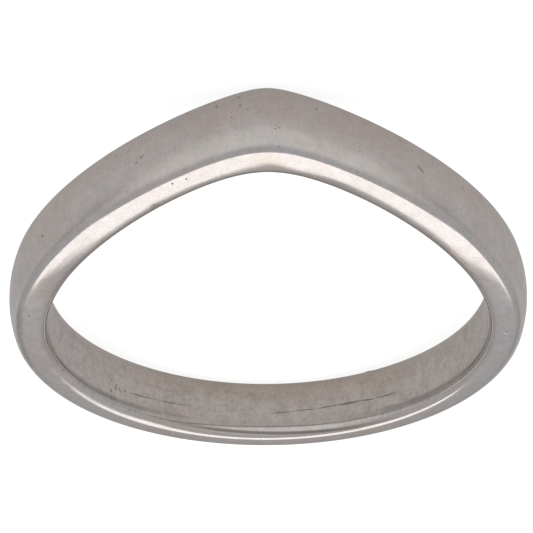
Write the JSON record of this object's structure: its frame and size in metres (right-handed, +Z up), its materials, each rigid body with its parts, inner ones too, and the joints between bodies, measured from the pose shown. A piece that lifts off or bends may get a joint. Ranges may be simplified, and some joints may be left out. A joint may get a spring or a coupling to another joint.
{
  "type": "chevron ring",
  "caption": "Plain one-piece chevron ring: a domed band whose front dips to a soft point, with rounded edges and a round finger hole.",
  "frame": {"origin": "on the floor, under the middle of the ring's box, with the ring lying on its side at rest", "axes": "+Z up from the floor; the point of the chevron is at -Y and low, the back of the band at +Y; the ring is the same to both sides of X = 0"},
  "size_m": [0.02, 0.0202, 0.0042],
  "materials": {
    "metal": "worn satin white metal with fine scratches, polished by wear on the edges"
  },
  "bodies": {
    "root": {"band": "metal"}
  },
  "joints": []
}
